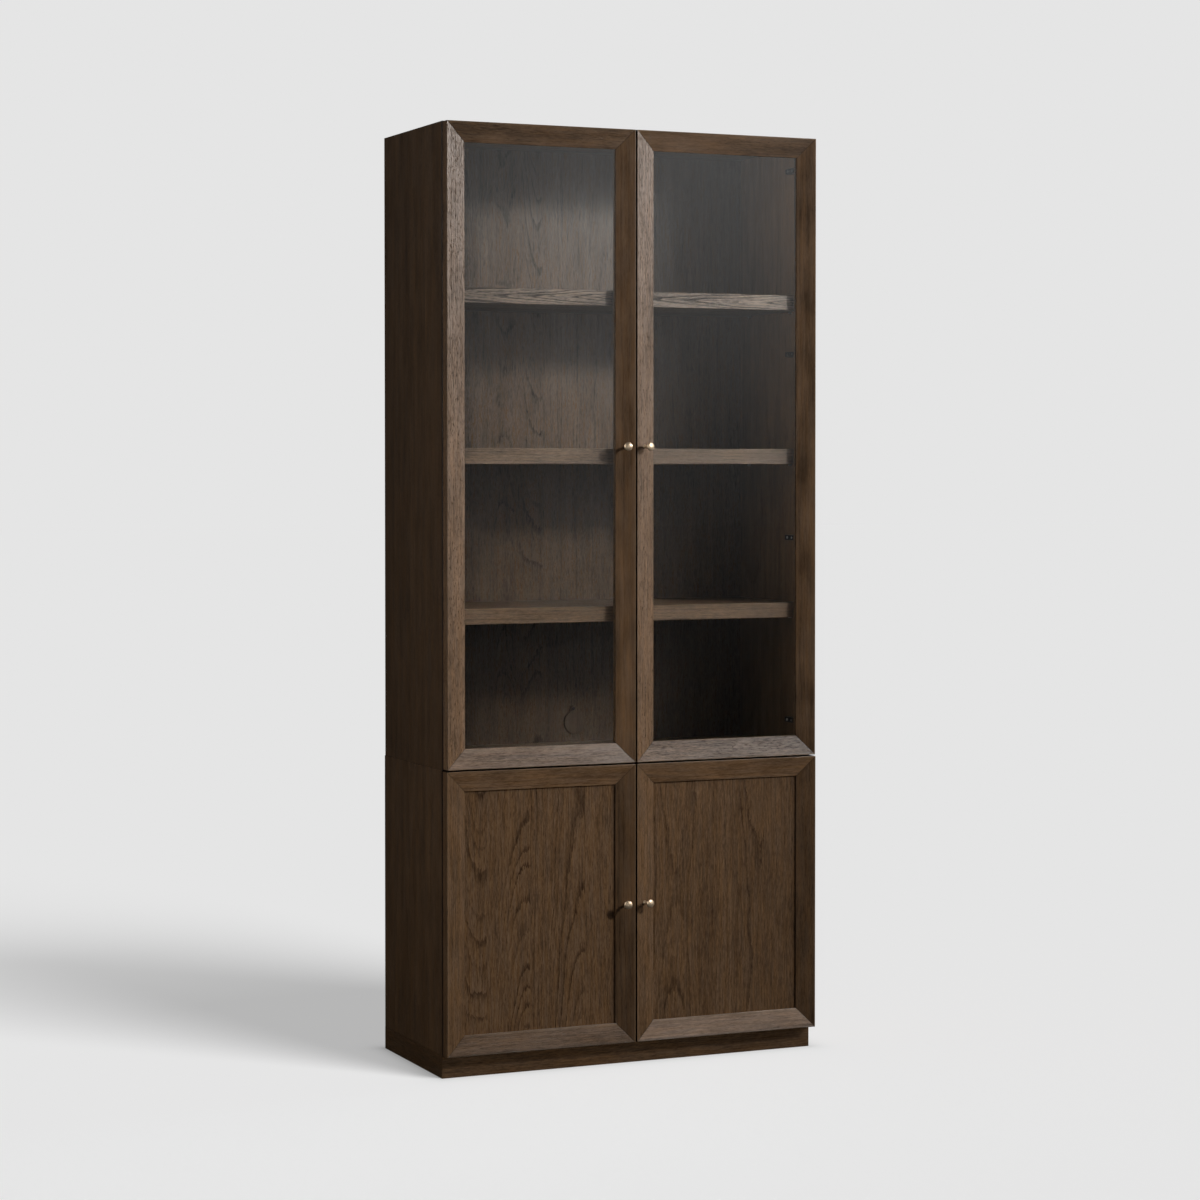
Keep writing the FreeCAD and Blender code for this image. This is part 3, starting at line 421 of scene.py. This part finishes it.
for k, (name, grain, tone) in enumerate((("plinth_front", "X", 0.58), ("plinth_back", "X", 1.0), ("plinth_sides", "Y", 0.60))):
    dress(name, oak(f"oak_{name}", grain, "Z", Centre=-60.0, Depth=25.0, Taper=0.01, Ring=6.0, Seed=8.8 + k, Figure=0.5, Streak=0.8, Pores=0.6,
                    Waviness=0.6, Tone=tone, spec=0.25, Drift=-0.22 if k == 0 else 0.0))
for door in ("upper_left_door", "upper_right_door"):
    dress(f"{door}_glass_beads", oak(f"oak_{door}_beads", "Z", "X", Centre=-260.0, Depth=60.0, Taper=0.004, Ring=5.0, Seed=4.4, Figure=0.4, Pores=0.6,
                                     Waviness=0.3, Tone=0.9))
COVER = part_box("cable_port_cover")[0].y
# the cover's rim is painted dark for the shadow the cover casts around itself
dress("cable_port_cover", oak("oak_cable_port_cover", "Z", "X", origin=(0, 0, 0.8), Centre=-60.0, Depth=30.0, Taper=0.02, Ring=6.0, Seed=5.9, Figure=0.3,
                              Pores=0.3, Streak=0.5, Waviness=0.5, Tone=0.50, spec=0.40, shade_line=COVER + 0.0065))

# metal
brass = simple("aged_brass", (0.80, 0.62, 0.43), 0.41, 0.85, (420.0, 0.5, (0.66, 0.49, 0.32)), (900.0, 0.05))
black = simple("black_hinge_metal", (0.018, 0.018, 0.019), 0.34, 0.8, (350.0, 0.5, (0.03, 0.03, 0.032)))
steel = simple("steel_fasteners", (0.52, 0.52, 0.53), 0.32, 1.0, (350.0, 0.5, (0.40, 0.40, 0.41)))
for name in N:
    if name.endswith("_knob"):
        dress(name, brass)
    elif name in ("hinge_arms", "hinge_plates", "cable_port_cover_screw") or name.endswith("_hinge_cups"):
        dress(name, black)
    elif name in ("hinge_pins", "hinge_screws", "shelf_pins", "unit_joining_bolts") or name.endswith("_knob_screw"):
        dress(name, steel)

# clear glass that lets lamps through
gm = bpy.data.materials.new("clear_glass")
gm.use_nodes = True
gm.node_tree.nodes.clear()
t = Tree(gm.node_tree)
p = t.node("ShaderNodeBsdfPrincipled")
p.inputs["Base Color"].default_value = (0.94, 0.955, 0.95, 1)
p.inputs["Roughness"].default_value = 0.0
p.inputs["IOR"].default_value = 1.5
p.inputs["Transmission Weight"].default_value = 1.0
clear = t.node("ShaderNodeBsdfTransparent")
clear.inputs["Color"].default_value = (0.90, 0.915, 0.91, 1)
mx = t.node("ShaderNodeMixShader")
t.link(t.node("ShaderNodeLightPath").outputs["Is Shadow Ray"], mx.inputs[0])
t.link(p.outputs[0], mx.inputs[1])
t.link(clear.outputs[0], mx.inputs[2])
t.link(mx.outputs[0], t.node("ShaderNodeOutputMaterial").inputs["Surface"])
for door in ("upper_left_door", "upper_right_door"):
    dress(f"{door}_glass", gm)


# ----------------------------------------------------------------------------
# stage, light and camera
# ----------------------------------------------------------------------------
PALE = 0.7835           # the plain backdrop's grey
floor_mesh = bpy.data.meshes.new("floor")
R = 60.0
floor_mesh.from_pydata([(-R, -R, 0), (R, -R, 0), (R, R, 0), (-R, R, 0)], [], [(0, 1, 2, 3)])
floor = bpy.data.objects.new("floor", floor_mesh)
scene.collection.objects.link(floor)
fm = bpy.data.materials.new("floor_paint")
fm.use_nodes = True
fm.node_tree.nodes.clear()
t = Tree(fm.node_tree)
GLOW = 0.585             # share of the floor's grey that the floor emits itself, which no shadow takes away
ALBEDO = 0.5
ground = t.split(t.node("ShaderNodeNewGeometry").outputs["Position"])
foot_lo, foot_hi = [Vector([f(a, b) for a, b in zip(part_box("plinth_front")[k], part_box("plinth_sides")[k])]) for k, f in ((0, min), (1, max))]
out_x = t.math("MAXIMUM", t.sub(t.math("ABSOLUTE", t.sub(ground[0], (foot_lo.x + foot_hi.x) / 2)), (foot_hi.x - foot_lo.x) / 2), 0.0)
out_y = t.math("MAXIMUM", t.sub(t.math("ABSOLUTE", t.sub(ground[1], (foot_lo.y + foot_hi.y) / 2)), (foot_hi.y - foot_lo.y) / 2), 0.0)
away = t.math("SQRT", t.add(t.mul(out_x, out_x), t.mul(out_y, out_y)))
share = t.remap(away, 0.8, 2.8, 1.0, 0.42)                               # the floor's glow takes over from the sun with distance: painted thinning of the shadow
contact_shade = t.mul(t.math("EXPONENT", t.mul(away, -1 / 0.022)), 0.42)      # painted contact shade: the glow dims where the plinth stands
grey = t.mul(share, ALBEDO)
paint = t.node("ShaderNodeBsdfDiffuse")
t.link(t.vec(grey, grey, grey), paint.inputs["Color"])
lit = t.node("ShaderNodeEmission")
lit.inputs["Color"].default_value = (PALE, PALE, PALE, 1)
t.link(t.mul(t.sub(1.0, t.mul(share, 1.0 - GLOW)), t.sub(1.0, contact_shade)), lit.inputs["Strength"])
seen = t.node("ShaderNodeAddShader")
t.link(paint.outputs[0], seen.inputs[0])
t.link(lit.outputs[0], seen.inputs[1])
path = t.node("ShaderNodeLightPath")
felt = t.node("ShaderNodeBsdfDiffuse")
t.link(t.mix(path.outputs["Is Glossy Ray"], (0.05, 0.05, 0.05), (0.015, 0.015, 0.015)), felt.inputs["Color"])
mx = t.node("ShaderNodeMixShader")
t.link(path.outputs["Is Camera Ray"], mx.inputs[0])
t.link(felt.outputs[0], mx.inputs[1])
t.link(seen.outputs[0], mx.inputs[2])
t.link(mx.outputs[0], t.node("ShaderNodeOutputMaterial").inputs["Surface"])
floor_mesh.materials.append(fm)
floor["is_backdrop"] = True

world = bpy.data.worlds.new("studio")
scene.world = world
world.use_nodes = True
world.node_tree.nodes.clear()
t = Tree(world.node_tree)
shown = t.node("ShaderNodeBackground")
shown.inputs["Color"].default_value = (PALE, PALE, PALE, 1)
ambient = t.node("ShaderNodeBackground")
ambient.name = "ambient"
ambient.inputs["Color"].default_value = (1, 1, 1, 1)
AMBIENT = 0.02
ambient.inputs["Strength"].default_value = AMBIENT
mx = t.node("ShaderNodeMixShader")
t.link(t.node("ShaderNodeLightPath").outputs["Is Camera Ray"], mx.inputs[0])
t.link(ambient.outputs[0], mx.inputs[1])
t.link(shown.outputs[0], mx.inputs[2])
t.link(mx.outputs[0], t.node("ShaderNodeOutputWorld").inputs["Surface"])

on_object = bpy.data.collections.new("lit_object")
on_outside = bpy.data.collections.new("lit_outside")
on_floor = bpy.data.collections.new("lit_floor")
on_knobs = bpy.data.collections.new("lit_knobs")
on_plinth = bpy.data.collections.new("lit_plinth")
on_plinth.objects.link(N["plinth_front"])
inside = ("upper_back_panel", "lower_back_panel", "upper_shelf_top", "upper_shelf_middle", "upper_shelf_bottom", "lower_shelf", "cable_port_cover")
for name, ob in N.items():
    on_object.objects.link(ob)
    if name not in inside:
        on_outside.objects.link(ob)
    if name.endswith("_knob"):
        on_knobs.objects.link(ob)
on_floor.objects.link(floor)


def lamp(name, where, aim, size, power, colour=(1, 1, 1), size_y=None, diffuse=True, glossy=True, only=None, sigma=None):
    """sigma makes a soft box that fades towards its rim, with that spread in metres."""
    d = bpy.data.lights.new(name, "AREA")
    d.shape = "RECTANGLE" if size_y else "SQUARE"
    d.size = size
    if size_y:
        d.size_y = size_y
    d.energy = power
    d.color = colour
    ob = bpy.data.objects.new(name, d)
    scene.collection.objects.link(ob)
    ob.location = where
    ob.rotation_euler = (Vector(aim) - Vector(where)).to_track_quat("-Z", "Y").to_euler()
    ob.visible_camera = False
    ob.visible_diffuse = diffuse
    ob.visible_glossy = glossy
    if only is not None:
        ob.light_linking.receiver_collection = only
    if sigma:
        d.use_nodes = True
        nt = d.node_tree
        t = Tree(nt)
        em = [n for n in nt.nodes if n.type == "EMISSION"][0]
        u, v, _ = t.split(t.node("ShaderNodeNewGeometry").outputs["Parametric"])
        du, dv = t.sub(u, 0.5), t.sub(v, 0.5)
        rr = t.add(t.mul(du, du), t.mul(dv, dv))
        t.link(t.math("EXPONENT", t.mul(rr, -size * size / (2 * sigma * sigma))), em.inputs["Strength"])
    return ob


KEY, MID = (3.7, -4.08, 3.55), (0.0, -0.1, 1.5)
lamp("key", KEY, MID, 0.42, 205.0, size_y=0.60, only=on_object)
lamp("key_near", (3.0, -4.5, 3.45), MID, 1.3, 20.0, size_y=1.1, diffuse=False, only=on_object)
lamp("soft_glow", (2.51, -4.8, 3.33), (0.25, -0.198, 2.6), 6.4, 113.0, diffuse=False, only=on_object, sigma=1.065)
lamp("right_fill", (4.5, -1.2, 2.6), (0.0, 0.0, 1.2), 2.0, 175.0, only=on_outside, glossy=False)
lamp("right_sheen", (5.5, -3.0, 2.2), (0.0, 0.0, 1.2), 2.0, 34.0, diffuse=False, only=on_object)
lamp("left_fill", (-4.5, -0.5, 1.9), (0.0, 0.0, 1.1), 2.5, 50.0, only=on_outside, glossy=False)
lamp("left_sheen", (-4.5, -0.5, 2.6), (0.0, 0.0, 1.2), 2.5, 120.0, diffuse=False, only=on_object)

lamp("back_fill", (1.6, 5.0, 2.6), (0.0, 0.2, 1.2), 3.0, 150.0, only=on_object, glossy=False)
lamp("knob_left", (-4.0, -2.2, 1.6), (0.0, -0.24, 1.2), 2.6, 9.0, only=on_knobs)
lamp("knob_front", (-1.2, -5.0, 0.9), (0.0, -0.24, 1.2), 2.4, 16.0, only=on_knobs)
lamp("plinth_glow", (0.2, -2.5, 0.25), (0.0, -0.2, 0.05), 1.4, 17.0, size_y=0.4, only=on_plinth, glossy=False)

elevation, azimuth = math.radians(38), math.radians(-28)
sun = bpy.data.lights.new("floor_light", "SUN")
sun.angle = math.radians(25)
sun.energy = math.pi * ((1.0 - GLOW) * PALE / ALBEDO - AMBIENT) / math.sin(elevation)
so = bpy.data.objects.new("floor_light", sun)
scene.collection.objects.link(so)
so.rotation_euler = Vector((math.sin(azimuth) * math.cos(elevation), math.cos(azimuth) * math.cos(elevation), -math.sin(elevation))).to_track_quat("-Z", "Y").to_euler()
so.light_linking.receiver_collection = on_floor

cam = bpy.data.cameras.new("camera")
cam.sensor_width = 36.0
cam.lens = 2929.0 / 1200.0 * 36.0
cam.shift_y = -0.05
cam.clip_end = 200.0
co = bpy.data.objects.new("camera", cam)
scene.collection.objects.link(co)
co.location = (-3.0054, -6.8032, 1.4834)
yaw, pitch, roll = math.radians(23.796), math.radians(1.419), math.radians(0.015)
co.rotation_euler = (math.pi / 2 - pitch, 0.0, -yaw)
scene.camera = co

scene.view_settings.view_transform = "Standard"
scene.view_settings.look = "None"
scene.cycles.use_denoising = True
scene.cycles.max_bounces = 10
scene.cycles.transparent_max_bounces = 16

lo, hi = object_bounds()
